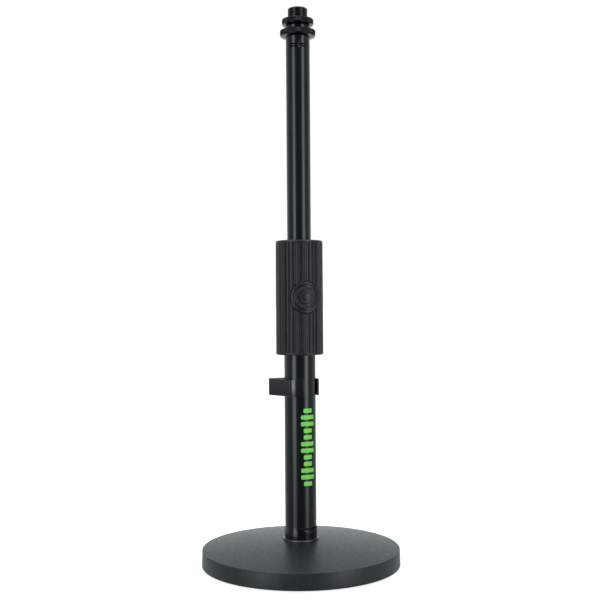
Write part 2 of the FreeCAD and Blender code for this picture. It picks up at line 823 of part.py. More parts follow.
nodes = [make() for make in PIECES]
doc.recompute()
check(nodes)
for node in nodes:
    node.Shape.exportStep(f"parts/{node.Label}.step")
    print(f"{node.Label}: {len(node.Shape.Solids)} solids, {node.Shape.Volume:.1f} mm3")
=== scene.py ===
import json
import math

import bmesh
import bpy
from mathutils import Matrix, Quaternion, Vector


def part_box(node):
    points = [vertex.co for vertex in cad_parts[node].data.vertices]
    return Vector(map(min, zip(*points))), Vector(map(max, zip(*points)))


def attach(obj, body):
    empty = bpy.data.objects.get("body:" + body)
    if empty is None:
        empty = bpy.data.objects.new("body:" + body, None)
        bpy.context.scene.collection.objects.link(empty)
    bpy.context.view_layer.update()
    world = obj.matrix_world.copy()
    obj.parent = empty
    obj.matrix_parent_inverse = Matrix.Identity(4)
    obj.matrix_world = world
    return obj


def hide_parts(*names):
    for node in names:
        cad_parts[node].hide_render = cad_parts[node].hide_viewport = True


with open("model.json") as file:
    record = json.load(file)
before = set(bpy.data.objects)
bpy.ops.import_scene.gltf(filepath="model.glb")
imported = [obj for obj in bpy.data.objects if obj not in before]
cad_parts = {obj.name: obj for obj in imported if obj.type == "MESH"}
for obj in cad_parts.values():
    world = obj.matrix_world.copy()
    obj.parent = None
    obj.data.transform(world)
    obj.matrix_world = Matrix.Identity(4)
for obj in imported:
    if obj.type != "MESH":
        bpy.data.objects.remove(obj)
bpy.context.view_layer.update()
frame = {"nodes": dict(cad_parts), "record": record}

# The looks of the desktop microphone stand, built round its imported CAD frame.
# Shapes are worked out in millimetres and degrees, as (angle from the front, radius,
# height), and go into Blender in metres. The front of the stand faces -Y.

MM = 0.001
scene = bpy.context.scene


def extent(node):
    """(radius, bottom, top) of a round CAD node, in millimetres."""
    low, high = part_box(node)
    return (high.x - low.x) / 2 / MM, low.z / MM, high.z / MM


# ---------------------------------------------------------------- mesh helpers


def at(angle, radius, height):
    turn = math.radians(angle)
    return (radius * math.sin(turn) * MM, -radius * math.cos(turn) * MM, height * MM)


def smooth(low, high, value):
    """0 below low, 1 above high, and an S curve between them."""
    share = min(1.0, max(0.0, (value - low) / (high - low)))
    return share * share * (3 - 2 * share)


def window(low, high, soft, value):
    """1 between low and high, 0 outside them, with soft ends."""
    return smooth(low - soft, low, value) * (1 - smooth(high, high + soft, value))


def steps(low, high, spacing):
    """Evenly spaced values from low to high, both ends included."""
    count = max(1, math.ceil((high - low) / spacing))
    return [low + (high - low) * k / count for k in range(count + 1)]


def rounded(corners, pieces=5):
    """A closed outline of (radius, height, rounding) corners with its corners rounded."""
    outline = []
    for number, (r, z, rounding) in enumerate(corners):
        here = Vector((r, z))
        if not rounding:
            outline.append((r, z))
            continue
        before = Vector(corners[number - 1][:2]) - here
        after = Vector(corners[(number + 1) % len(corners)][:2]) - here
        half_angle = before.angle(after) / 2
        run = rounding / math.tan(half_angle)
        start = here + before.normalized() * run
        stop = here + after.normalized() * run
        centre = here + (before.normalized() + after.normalized()).normalized() * (
            rounding / math.sin(half_angle))
        first = start - centre
        sweep = first.angle_signed(stop - centre)
        for k in range(pieces + 1):
            turn = -sweep * k / pieces
            point = centre + Vector((first.x * math.cos(turn) - first.y * math.sin(turn),
                                     first.x * math.sin(turn) + first.y * math.cos(turn)))
            outline.append((point.x, point.y))
    return outline


def add_piece(name, points, faces, body, slot, replaces=(), crease=40):
    mesh = bpy.data.meshes.new(name)
    mesh.from_pydata(points, [], faces)
    work = bmesh.new()
    work.from_mesh(mesh)
    bmesh.ops.recalc_face_normals(work, faces=work.faces)
    work.to_mesh(mesh)
    work.free()
    mesh.polygons.foreach_set("use_smooth", [True] * len(mesh.polygons))
    mesh.set_sharp_from_angle(angle=math.radians(crease))
    piece = bpy.data.objects.new(name, mesh)
    scene.collection.objects.link(piece)
    mesh.materials.append(material_for(slot))
    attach(piece, body)
    if replaces:
        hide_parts(*replaces)
    return piece


def with_side(outline, radius, heights):
    """The outline with points added up its straight outer side."""
    spots = [k for k, (r, z) in enumerate(outline) if abs(r - radius) < 1e-3]
    low, high = outline[spots[0]][1], outline[spots[-1]][1]
    added = [(radius, z) for z in heights if low + 0.05 < z < high - 0.05]
    return outline[:spots[0] + 1] + added + outline[spots[-1]:]


def ring_faces(rings, around, closed):
    """Quads between rings of points; closed joins the last ring to the first."""
    faces = []
    for ring in range(rings if closed else rings - 1):
        here = ring * around
        above = ((ring + 1) % rings) * around
        for k in range(around):
            after = (k + 1) % around
            faces.append((here + k, here + after, above + after, above + k))
    if not closed:
        faces.append(tuple(range(around)))
        faces.append(tuple((rings - 1) * around + k for k in range(around)))
    return faces


def turned(name, outline, body, slot, replaces=(), around=192, closed=True, shape=None,
           opened=None, crease=40):
    """A piece turned from an outline of (radius, height) points.

    shape(angle, radius, height) gives the radius anew where the piece isn't quite round.
    Faces whose middle is at a spot where opened(angle, radius, height) is true are left out.
    """
    points = []
    for radius, height in outline:
        for k in range(around):
            angle = 360 * k / around
            out = shape(angle, radius, height) if shape else radius
            points.append(at(angle, out, height))
    faces = ring_faces(len(outline), around, closed)
    if opened:
        faces = [face for face in faces if not opened(*spot_of(points, face))]
    return add_piece(name, points, faces, body, slot, replaces, crease)


def spot_of(points, face):
    """(angle, radius, height) of the middle of a face, in millimetres."""
    x, y, z = (sum(points[n][axis] for n in face) / len(face) / MM for axis in range(3))
    return math.degrees(math.atan2(x, -y)), math.hypot(x, y), z


# ---------------------------------------------------------------- materials


class Look:
    """A Principled material that is put together from procedural textures."""

    def __init__(self, name, color, roughness, metallic=0.0, **sockets):
        self.material = bpy.data.materials.new(name)
        self.material.use_nodes = True
        self.nodes = self.material.node_tree.nodes
        self.links = self.material.node_tree.links
        self.shader = self.nodes["Principled BSDF"]
        self.shader.inputs["Base Color"].default_value = (*color, 1)
        self.shader.inputs["Roughness"].default_value = roughness
        self.shader.inputs["Metallic"].default_value = metallic
        for socket, value in sockets.items():
            self.shader.inputs[socket.replace("_", " ")].default_value = value
        self.place = self.nodes.new("ShaderNodeTexCoord").outputs["Object"]
        self.normal = None

    def stretched(self, scale):
        """The object's coordinates in metres, scaled along each axis."""
        mapping = self.nodes.new("ShaderNodeMapping")
        mapping.inputs["Scale"].default_value = scale
        self.links.new(self.place, mapping.inputs["Vector"])
        return mapping.outputs["Vector"]

    def noise(self, scale, detail=2.0, roughness=0.5, place=None):
        texture = self.nodes.new("ShaderNodeTexNoise")
        texture.inputs["Scale"].default_value = scale
        texture.inputs["Detail"].default_value = detail
        texture.inputs["Roughness"].default_value = roughness
        self.links.new(place or self.place, texture.inputs["Vector"])
        return texture.outputs["Fac"]

    def ramp(self, value, stops):
        """Colours or greys that follow a texture's value."""
        ramp = self.nodes.new("ShaderNodeValToRGB")
        while len(ramp.color_ramp.elements) < len(stops):
            ramp.color_ramp.elements.new(0.5)
        for element, (position, color) in zip(ramp.color_ramp.elements, stops):
            element.position = position
            grey = isinstance(color, float)
            element.color = (color, color, color, 1) if grey else (*color, 1)
        self.links.new(value, ramp.inputs["Fac"])
        return ramp.outputs["Color"]

    def color(self, value, stops):
        self.links.new(self.ramp(value, stops), self.shader.inputs["Base Color"])
        return self

    def roughness(self, value, low, high):
        self.links.new(self.ramp(value, [(0.3, low), (0.7, high)]),
                       self.shader.inputs["Roughness"])
        return self

    def bump(self, height, depth_mm, strength=1.0):
        """Relief of about that depth; each call adds to the last."""
        bump = self.nodes.new("ShaderNodeBump")
        bump.inputs["Strength"].default_value = strength
        bump.inputs["Distance"].default_value = depth_mm * MM
        self.links.new(height, bump.inputs["Height"])
        if self.normal is not None:
            self.links.new(self.normal, bump.inputs["Normal"])
        self.normal = bump.outputs["Normal"]
        self.links.new(self.normal, self.shader.inputs["Normal"])
        return self


def base_coat():
    """Textured black powder coat on the casting."""
    look = Look("powder_coat", (0.009, 0.012, 0.012), 0.38)
    look.color(look.noise(260, 4.0, 0.7), [(0.3, (0.007, 0.010, 0.010)), (0.7, (0.012, 0.016, 0.016))])
    look.roughness(look.noise(500, 3.0), 0.33, 0.48)
    look.bump(look.noise(900, 3.0, 0.6), 0.05, 0.6)
    look.bump(look.noise(420, 3.0), 0.10, 0.7)
    return look.material


def tube_coat():
    """Smooth gloss black enamel, with a little orange peel and fine dust in the gloss."""
    look = Look("gloss_enamel", (0.003, 0.005, 0.005), 0.17)
    look.color(look.noise(60, 3.0), [(0.3, (0.0025, 0.0045, 0.0045)), (0.7, (0.0040, 0.0065, 0.0065))])
    look.roughness(look.noise(35, 4.0, 0.6), 0.13, 0.20)
    look.bump(look.noise(420, 2.0), 0.012, 0.35)
    return look.material


def thread_coat():
    look = Look("thread_black", (0.001, 0.0015, 0.0015), 0.12, Specular_IOR_Level=0.45)
    look.color(look.noise(500, 3.0), [(0.3, (0.0005, 0.0010, 0.0010)), (0.75, (0.0015, 0.0020, 0.0020))])
    look.roughness(look.noise(700, 3.0), 0.09, 0.15)
    look.bump(look.noise(1500, 2.0), 0.01, 0.3)
    return look.material


def knurl_coat():
    """Dark gloss metal finish over a fine knurl, its tone varying a little at random."""
    look = Look("dark_nickel", (0.028, 0.031, 0.033), 0.2, 1.0)
    look.color(look.noise(900, 4.0, 0.7), [(0.35, (0.015, 0.018, 0.020)), (0.7, (0.042, 0.046, 0.050))])
    look.roughness(look.noise(700, 3.0), 0.15, 0.26)
    look.bump(look.noise(1300, 3.0, 0.7), 0.03, 0.4)
    return look.material


def grip_rubber():
    look = Look("grip_rubber", (0.007, 0.009, 0.010), 0.38)
    look.color(look.noise(150, 4.0), [(0.3, (0.003, 0.005, 0.006)), (0.7, (0.007, 0.009, 0.010))])
    look.roughness(look.noise(300, 3.0), 0.33, 0.44)
    look.bump(look.noise(1600, 3.0, 0.6), 0.02, 0.5)
    return look.material


def badge_rubber():
    look = Look("badge_rubber", (0.006, 0.008, 0.008), 0.34)
    look.color(look.noise(400, 3.0), [(0.3, (0.004, 0.006, 0.007)), (0.7, (0.008, 0.010, 0.011))])
    look.roughness(look.noise(500, 3.0), 0.30, 0.40)
    look.bump(look.noise(1800, 2.0), 0.015, 0.4)
    return look.material


def base_rubber():
    look = Look("ring_rubber", (0.014, 0.014, 0.014), 0.7)
    look.color(look.noise(300, 4.0), [(0.3, (0.010, 0.010, 0.010)), (0.7, (0.022, 0.022, 0.021))])
    look.roughness(look.noise(400, 3.0), 0.62, 0.80)
    look.bump(look.noise(1200, 3.0), 0.04, 0.6)
    return look.material


def clip_plastic():
    look = Look("clip_plastic", (0.004, 0.005, 0.005), 0.1, Specular_IOR_Level=0.8)
    look.color(look.noise(180, 3.0), [(0.3, (0.003, 0.005, 0.005)), (0.7, (0.005, 0.007, 0.007))])
    look.roughness(look.noise(220, 3.0), 0.07, 0.13)
    look.bump(look.noise(700, 2.0), 0.01, 0.3)
    return look.material


def mark_green():
    """Screen printed ink, a touch uneven."""
    look = Look("green_ink", (0.14, 0.53, 0.06), 0.35)
    look.color(look.noise(700, 3.0), [(0.3, (0.13, 0.50, 0.055)), (0.7, (0.16, 0.57, 0.075))])
    look.roughness(look.noise(900, 2.0), 0.28, 0.42)
    look.bump(look.noise(1500, 2.0), 0.01, 0.3)
    return look.material


def turned_metal(name, dark, light, rough_low, rough_high, metallic):
    """Metal with fine rings left by the lathe, round the tube's axis."""
    look = Look(name, light, rough_low, metallic)
    rings = look.noise(1.0, 3.0, 0.6, place=look.stretched((60, 60, 5200)))
    look.color(look.noise(300, 3.0), [(0.3, dark), (0.7, light)])
    look.roughness(rings, rough_low, rough_high)
    look.bump(rings, 0.01, 0.4)
    return look.material


def washer_steel():
    return turned_metal("blackened_steel", (0.05, 0.052, 0.055), (0.13, 0.135, 0.14), 0.25, 0.4, 0.8)


def zinc_insert():
    return turned_metal("zinc", (0.03, 0.03, 0.031), (0.07, 0.07, 0.072), 0.55, 0.7, 0.4)


def clutch_metal():
    return turned_metal("black_anodised", (0.018, 0.018, 0.019), (0.03, 0.03, 0.032), 0.3, 0.45, 0.4)


def spring_steel():
    return turned_metal("spring_steel", (0.16, 0.16, 0.16), (0.28, 0.28, 0.28), 0.25, 0.4, 1.0)


def bushing_plastic():
    look = Look("acetal", (0.62, 0.61, 0.56), 0.4, Subsurface_Weight=0.1)
    look.color(look.noise(200, 3.0), [(0.3, (0.56, 0.55, 0.50)), (0.7, (0.68, 0.67, 0.62))])
    look.roughness(look.noise(300, 2.0), 0.34, 0.46)
    look.bump(look.noise(900, 2.0), 0.01, 0.4)
    return look.material


LOOKS = {
    "base_coat": base_coat, "base_rubber": base_rubber, "washer_steel": washer_steel,
    "zinc_insert": zinc_insert, "tube_coat": tube_coat, "mark_green": mark_green,
    "bushing_plastic": bushing_plastic, "clip_plastic": clip_plastic,
    "clutch_metal": clutch_metal, "grip_rubber": grip_rubber, "badge_rubber": badge_rubber,
    "spring_steel": spring_steel, "thread_coat": thread_coat, "knurl_coat": knurl_coat,
}
made_looks = {}


def material_for(slot):
    if slot not in made_looks:
        made_looks[slot] = LOOKS[slot]()
    return made_looks[slot]


def dress_frame():
    """Give every CAD node the procedural material of its slot."""
    for row in frame["record"]["subparts"]:
        node = frame["nodes"][row["node"]]
        node.data.materials.clear()
        node.data.materials.append(material_for(row["material_slot"]))


# ---------------------------------------------------------------- base


def base():
    """The casting: rounded rim, shallow dome, recess and hub underneath."""
    radius, bottom, top = extent("base_casting")
    ring_top = extent("base_rubber_ring")[2]
    washer_radius = extent("foot_washer")[0]
    rim_top = 14.2
    hub_bottom = 3.0
    recess_top = 6.5
    hub_hole = 7.4
    dome_radius = 520.0
    hub_radius = washer_radius + 0.65
    dome_start = radius - 0.4
    rim_round = 0.4
    outline = rounded([
        (hub_hole, hub_bottom, 0), (14.0, hub_bottom, 0.8), (14.6, recess_top, 1.0),
        (66.2, recess_top, 1.5), (67.0, bottom, 0.4), (69.9, bottom, 0.2),
        (69.9, ring_top + 0.1, 0), (76.1, ring_top + 0.1, 0), (76.1, bottom, 0.2),
        (radius, bottom, 0.6), (dome_start, rim_top, rim_round),
    ])
    span = dome_start - rim_round - hub_radius
    rise = top - rim_top
    sagitta = (span ** 2 + rise ** 2) / 8 / dome_radius
    for share in steps(0.0, 1.0, 1 / 40)[1:]:
        bulge = 4 * sagitta * share * (1 - share)
        outline.append((dome_start - rim_round - share * span, rim_top + share * rise + bulge))
    outline += [(hub_hole, top)]
    turned("base", outline, "stand", "base_coat", ["base_casting"], around=360, crease=30)
    spokes(recess_top, bottom)


def spokes(recess_top, bottom):
    """Cast ribs in the recess, from the hub to the rim."""
    count = 6
    inner, outer = 13.5, 67.2
    half_edge, half_root = 1.6, 2.4
    low, high = bottom + 1.6, recess_top + 0.02
    points = []
    faces = []
    corners = [(inner, -half_edge, low), (outer, -half_edge, low),
               (outer, half_edge, low), (inner, half_edge, low),
               (inner, -half_root, high), (outer, -half_root, high),
               (outer, half_root, high), (inner, half_root, high)]
    box = [(0, 1, 2, 3), (7, 6, 5, 4), (0, 4, 5, 1), (1, 5, 6, 2), (2, 6, 7, 3), (3, 7, 4, 0)]
    for k in range(count):
        turn = math.radians(360 * (k + 0.5) / count)
        start = len(points)
        for r, across, z in corners:
            points.append(((r * math.cos(turn) - across * math.sin(turn)) * MM,
                           (r * math.sin(turn) + across * math.cos(turn)) * MM, z * MM))
        faces += [tuple(start + n for n in face) for face in box]
    add_piece("base_ribs", points, faces, "stand", "base_coat")


def rubber_ring():
    radius, bottom, top = extent("base_rubber_ring")
    inner = 70.0
    outline = rounded([(inner, bottom, 0.6), (radius, bottom, 0.6), (radius, top, 0), (inner, top, 0)])
    turned("rubber_ring", outline, "stand", "base_rubber", ["base_rubber_ring"], around=256)


def washer():
    radius, bottom, top = extent("foot_washer")
    outline = rounded([(8.2, bottom, 0), (radius, bottom, 0.25), (radius, top, 0.6), (8.2, top, 0)])
    turned("washer", outline, "stand", "washer_steel", ["foot_washer"])


# ---------------------------------------------------------------- tubes

TUBE_RADIUS = 12.7
TUBE_BORE = 11.5


def tube_rings(bore, radius, heights, slits):
    """The outline of a tube: up its outside at the given heights and down its bore."""
    bottom, top = heights[0], heights[-1]
    lip = 0.25
    outside = [(radius - lip, bottom), (radius - lip * 0.3, bottom + lip * 0.3)]
    outside += [(radius, z) for z in heights if bottom + lip <= z <= top - lip]
    outside += [(radius - lip * 0.3, top - lip * 0.3), (radius - lip, top)]
    inside = [(bore, z) for z in sorted((z for slit in slits for z in slit), reverse=True)]
    return outside + [(bore, top)] + inside + [(bore, bottom)]


def slit_heights(low, high):
    """Ring heights that give a slit its square edges."""
    return [low - 0.02, low, high, high + 0.02]


def turn_from(angle, middle):
    """The turn from one angle to another, between -180 and 180."""
    return (angle - middle + 180) % 360 - 180


def lower_tube():
    """1 inch tube: swollen foot, crimp slit near the foot, and the tab formed below it."""
    swell, bottom, top = extent("lower_tube")
    swell -= 0.15
    swell_top, fade_top = bottom + 2.0, bottom + 11.0
    slit_low, slit_high = 30.9, 32.2
    slit_half = 51.0
    slit_middles = (38.5, 218.5)
    tab_low, tab_lean = 25.0, 0.45
    dimples = ((22.0, 30.2), (34.0, 28.9))
    dimple_depth, dimple_turn, dimple_height = 0.45, 6.0, 0.4

    def side(angle, radius, height):
        if radius < TUBE_RADIUS - 0.5:
            return radius
        out = radius + (swell - TUBE_RADIUS) * (1 - smooth(swell_top, fade_top, height))
        for middle in slit_middles:
            off = turn_from(angle, middle)
            inside = window(-slit_half, slit_half, 1.0, off)
            if slit_low - 1e-6 <= height <= slit_high + 1e-6:
                out -= (out - TUBE_BORE) * inside
            elif tab_low < height < slit_low:
                share = (height - tab_low) / (slit_low - tab_low)
                out += tab_lean * share * inside
                for place, level in dimples:
                    aside = turn_from(middle + off, place + middle - slit_middles[0])
                    away = (aside / dimple_turn) ** 2 + ((height - level) / dimple_height) ** 2
                    out -= dimple_depth * math.exp(-away)
        return out

    def opened(angle, radius, height):
        across = any(abs(turn_from(angle, middle)) < slit_half for middle in slit_middles)
        return across and slit_low < height < slit_high and radius < TUBE_BORE + 0.1

    heights = steps(bottom, slit_low - 0.1, 0.15) + slit_heights(slit_low, slit_high)
    heights += steps(slit_high + 0.15, fade_top + 4, 0.25) + steps(fade_top + 5, top, 8.0)
    rings = tube_rings(TUBE_BORE, TUBE_RADIUS, heights, [(slit_low, slit_high)])
    turned("lower_tube_skin", rings, "stand", "tube_coat", ["lower_tube"], around=360, shape=side,
           opened=opened, crease=32)


def upper_tube():
    """The mast's tube, crimped near its top by two short slits and a diamond punch mark."""
    radius, bottom, top = extent("upper_tube")
    bore = radius - 1.2
    crimp = top - 9.4
    slit_half_tall, slit_spread = 0.55, 0.95
    slits = [(crimp + middle - slit_half_tall, crimp + middle + slit_half_tall)
             for middle in (-slit_spread, slit_spread)]
    slit_start, slit_stop = -40.0, 35.0
    punch_angle, punch_wide, punch_tall, punch_depth = 6.0, 2.6, 3.4, 1.2
    punch_half = 9.0

    def reach(angle):
        """1 where the slits run: on both sides of the punch mark, front and back."""
        off = turn_from(angle, 0.0 if abs(turn_from(angle, 0.0)) < 90 else 180.0)
        return window(slit_start, slit_stop, 1.0, off) * (1 - window(
            punch_angle - punch_half, punch_angle + punch_half, 1.0, off))

    def side(angle, out, height):
        if out < radius - 0.5:
            return out
        if any(low - 1e-6 <= height <= high + 1e-6 for low, high in slits):
            out -= (out - bore) * reach(angle)
        for facing in (0.0, 180.0):
            off = turn_from(angle, facing + punch_angle)
            sideways = math.radians(abs(off)) * radius / punch_wide
            upright = abs(height - crimp - 0.2) / punch_tall
            out -= punch_depth * max(0.0, 1 - sideways ** 0.75 - upright ** 0.75)
        return max(out, bore)

    def opened(angle, out, height):
        across = reach(angle) > 0.99 and out < bore + 0.1
        return across and any(low < height < high for low, high in slits)

    heights = steps(bottom, crimp - 6, 8.0) + steps(crimp - 5, slits[0][0] - 0.1, 0.1)
    heights += slit_heights(*slits[0]) + steps(slits[0][1] + 0.1, slits[1][0] - 0.1, 0.1)
    heights += slit_heights(*slits[1]) + steps(slits[1][1] + 0.1, crimp + 5, 0.1)
    heights += steps(crimp + 5.5, top, 1.0)
    rings = tube_rings(bore, radius, heights, slits)
    turned("upper_tube_skin", rings, "mast", "tube_coat", ["upper_tube"], around=360, shape=side,
           opened=opened, crease=32)


def marking():
    """Printed bars that rise and fall like a level meter, each with rounded ends."""
    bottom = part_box("tube_marking")[0].z / MM
    count, pitch, tall = 12, 5.3, 3.4
    shortest, longest = 4.4, 12.4
    centre_angle = 29.0
    film = 0.05
    points, faces = [], []
    for number in range(count):
        swing = abs(math.sin(math.pi * (number + 0.5) * 3 / count))
        width = shortest + swing * (longest - shortest)
        middle = bottom + number * pitch + tall / 2
        bar(points, faces, centre_angle, middle, width, tall, film)
    add_piece("tube_print", points, faces, "stand", "mark_green", ["tube_marking"])


def bar(points, faces, centre_angle, middle, width, tall, film):
    """One bar as a curved film: columns of points whose height follows its rounded ends."""
    corner = 0.8
    columns = []
    for across in steps(-width / 2, width / 2, 0.2):
        inset = max(0.0, abs(across) - (width / 2 - corner))
        drop = corner - math.sqrt(max(0.0, corner ** 2 - inset ** 2))
        columns.append((across, tall / 2 - drop))
    start = len(points)
    for across, half in columns:
        angle = centre_angle + math.degrees(across / TUBE_RADIUS)
        for radius in (TUBE_RADIUS + film, TUBE_RADIUS - 0.05):
            points.append(at(angle, radius, middle - half))
            points.append(at(angle, radius, middle + half))
    for k in range(len(columns) - 1):
        a, b = start + 4 * k, start + 4 * (k + 1)
        faces += [(a, b, b + 1, a + 1), (a + 2, a + 3, b + 3, b + 2),
                  (a + 1, b + 1, b + 3, a + 3), (a, a + 2, b + 2, b)]
    last = start + 4 * (len(columns) - 1)
    faces += [(start, start + 1, start + 3, start + 2), (last, last + 2, last + 3, last + 1)]


# ---------------------------------------------------------------- cable clip


def arc(centre, radius, first, last, spacing=0.4):
    """Points round an arc, between two bearings in degrees from +X."""
    count = max(2, math.ceil(abs(math.radians(last - first)) * radius / spacing))
    turns = [math.radians(first + (last - first) * k / count) for k in range(count + 1)]
    return [centre + Vector((math.cos(t), math.sin(t))) * radius for t in turns]


def clip_face(offset, spacing):
    """A face of the clip's band, seen from above, offset outwards from the band's middle.

    It runs from the front end round to the lip. The outer face has a crease where the loop
    leaves the tube, and the inner face runs off the tube without one.
    """
    origin = Vector((0, 0))
    corner = Vector((-21.3, 6.5))
    middle, bend, lip = 13.8, 3.3 + offset, 17.0
    hug = middle + offset
    front_end, crease, lip_start, lip_end = 14.0, -33.0, 125.0, 88.0
    bearing = math.degrees(math.atan2(corner.y, corner.x))
    lean = math.degrees(math.acos((hug - bend) / corner.length))
    wall, leave = bearing + lean, bearing + lean - 360
    if offset > 0:
        leave = crease - 90
        run = corner - arc(origin, hug, leave, leave + 1)[0]
        wall = math.degrees(math.atan2(run.y, run.x) + math.asin(bend / run.length)) + 90
    lip_centre = arc(origin, middle - lip, lip_start - 90, lip_start - 89)[0]
    path = arc(origin, hug, front_end - 90, leave)
    path += arc(corner, bend, wall, bearing - lean)
    path += arc(origin, hug, bearing - lean, lip_start - 90)
    path += arc(lip_centre, lip + offset, lip_start - 90, lip_end - 90)[1:]
    return evened(path, spacing)


def evened(path, spacing):
    """The same line with its points evenly spaced and its creases eased."""
    lengths = [0.0]
    for a, b in zip(path, path[1:]):
        lengths.append(lengths[-1] + (b - a).length)
    even = []
    number = 0
    for target in steps(0.0, lengths[-1], spacing):
        while number < len(path) - 2 and lengths[number + 1] < target:
            number += 1
        share = (target - lengths[number]) / max(1e-9, lengths[number + 1] - lengths[number])
        even.append(path[number].lerp(path[number + 1], min(1.0, share)))
    for _ in range(3):
        middle = [(a + 2 * b + c) / 4 for a, b, c in zip(even, even[1:], even[2:])]
        even = [even[0]] + middle + [even[-1]]
    return even


def cable_clip():
    """A moulded band: rounded edges and ends, and a fine groove where the loop starts."""
    low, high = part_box("cable_clip")
    middle = (low.z + high.z) / 2 / MM
    half_tall = (high.z - low.z) / 2 / MM
    section = rounded([(-1, -half_tall, 0.35), (1, -half_tall, 0.35),
                       (1, half_tall, 0.35), (-1, half_tall, 0.35)], 4)
    groove_angle, groove_depth, groove_width = -31.5, 0.8, 0.5
    groove = Vector(at(groove_angle, 14.8, 0)[:2]) / MM
    inner = clip_face(-1.0, 0.1)
    stations = []
    for outer in clip_face(1.0, 0.22):
        close = min(inner, key=lambda spot: (spot - outer).length)
        sunk = groove_depth * math.exp(-((outer - groove).length / groove_width) ** 2)
        outer = outer + (close - outer).normalized() * sunk
        stations.append(((outer + close) / 2, (outer - close) / 2, 1.0))
    nose = [(0.25, 0.97), (0.5, 0.87), (0.75, 0.66), (0.95, 0.31)]
    first, last = stations[0], stations[-1]
    ahead = (stations[4][0] - first[0]).normalized()
    behind = (stations[-5][0] - last[0]).normalized()
    cut_end = [(0.7, 1.0), (0.85, 0.97), (0.93, 0.9)]
    front = [(first[0] + ahead * (1 - out), first[1], share) for out, share in cut_end]
    rear = [(last[0] + behind * (1 - out), last[1], share) for out, share in nose]
    stations = front[::-1] + [s for s in stations
                              if (s[0] - first[0]).length > 1 and (s[0] - last[0]).length > 1] + rear
    points = []
    for place, outward, share in stations:
        for across, up in section:
            rise = up - math.copysign((1 - share) * 0.6, up)
            spot = place + outward * across * share
            points.append((spot.x * MM, spot.y * MM, (middle + rise) * MM))
    faces = ring_faces(len(stations), len(section), closed=False)
    add_piece("clip_band", points, faces, "cable_clip", "clip_plastic", ["cable_clip"], crease=50)


# ---------------------------------------------------------------- grip and clutch

BADGE_ANGLE = 16.4


def grip():
    """Rubber sleeve: alternating deep and shallow upright flutes and plain lips."""
    radius, bottom, top = extent("grip_sleeve")
    top_radius, bore = 18.95, 16.53
    badge_middle = sum(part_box("grip_badge")[n].z for n in (0, 1)) / 2 / MM
    badge_radius = (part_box("grip_badge")[1].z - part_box("grip_badge")[0].z) / 2 / MM
    around = 36 * 14
    lip = 2.2

    def side(angle, out, height):
        if out < top_radius - 1.5:
            return out
        taper = (radius - top_radius) * (top - height) / (top - bottom)
        off = (angle - BADGE_ANGLE + 180) % 360 - 180
        from_badge = math.hypot(math.radians(off) * out, height - badge_middle)
        open_here = smooth(badge_radius + 0.9, badge_radius + 1.5, from_badge)
        ends = window(bottom + lip, top - lip, 0.5, height)
        sunk = 1.1 * (1 - smooth(badge_radius - 0.9, badge_radius - 0.4, from_badge))
        sunk += 0.95 * window(badge_radius + 0.45, badge_radius + 0.8, 0.25, from_badge)
        return out + taper - flute(angle) * open_here * ends - sunk

    low, high = badge_middle - badge_radius - 2, badge_middle + badge_radius + 2
    upright = steps(bottom + 1.2, bottom + lip + 1, 0.35) + steps(bottom + lip + 3, low - 1, 6.0)
    upright += steps(low, high, 0.35) + steps(high + 1, top - lip - 3, 6.0)
    upright += steps(top - lip - 1, top - 1.6, 0.3)
    corners = rounded([(bore, bottom, 0.3), (top_radius, bottom, 0.9),
                       (top_radius, top, 1.4), (bore, top, 0.3)])
    outline = with_side(corners, top_radius, upright)
    turned("grip_rubber", outline, "clutch_nut", "grip_rubber", ["grip_sleeve"],
           around=around, shape=side, crease=60)


def flute(angle):
    """Depth of the flutes, deep and shallow in turn, 10 degrees apart."""
    pitch = 10.0
    phase = 4.7
    share = ((angle - phase) / pitch) % 2
    deep = min(share, 2 - share)
    shallow = abs(share - 1)
    groove = 1.1 * math.exp(-((deep * pitch) / 1.8) ** 2)
    return groove + 0.7 * math.exp(-((shallow * pitch) / 1.9) ** 2)


def badge():
    """Medallion that follows the sleeve's curve: rings and a ring of plain ticks."""
    low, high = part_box("grip_badge")
    middle = (low.z + high.z) / 2 / MM
    edge = (high.z - low.z) / 2 / MM
    face = 18.85
    seat = 17.5
    around = 144
    ticks = 24

    def relief(out, bearing):
        height = 0.3 * window(10.75, edge, 0.2, out)
        height -= 0.35 * window(9.95, 10.35, 0.2, out)
        height -= 0.45 * window(5.1, 5.5, 0.2, out)
        height += 0.12 * window(4.2, 4.7, 0.25, out)
        wave = 0.5 + 0.5 * math.cos(math.radians(bearing * ticks))
        height += 0.32 * smooth(0.55, 0.75, wave) * window(6.7, 8.7, 0.25, out)
        return height + 0.18 * max(0.0, 1 - (out / 3.4) ** 2)

    rows = [(out, 0) for out in [0.15] + steps(0.5, edge + 0.45, 0.18)]
    rows += [(edge + 0.55, 1), (edge + 0.55, 2), (edge - 0.4, 3), (0.15, 3)]
    drops = {0: 0.0, 1: 0.15, 2: 0.5, 3: face - seat}
    points = []
    for out, level in rows:
        for k in range(around):
            bearing = 360 * k / around
            across = out * math.cos(math.radians(bearing))
            up = out * math.sin(math.radians(bearing))
            radius = face + (relief(out, bearing) if level == 0 else 0) - drops[level]
            points.append(at(BADGE_ANGLE + math.degrees(across / face), radius, middle + up))
    add_piece("medallion", points, ring_faces(len(rows), around, closed=False),
              "clutch_nut", "badge_rubber", ["grip_badge"], crease=50)


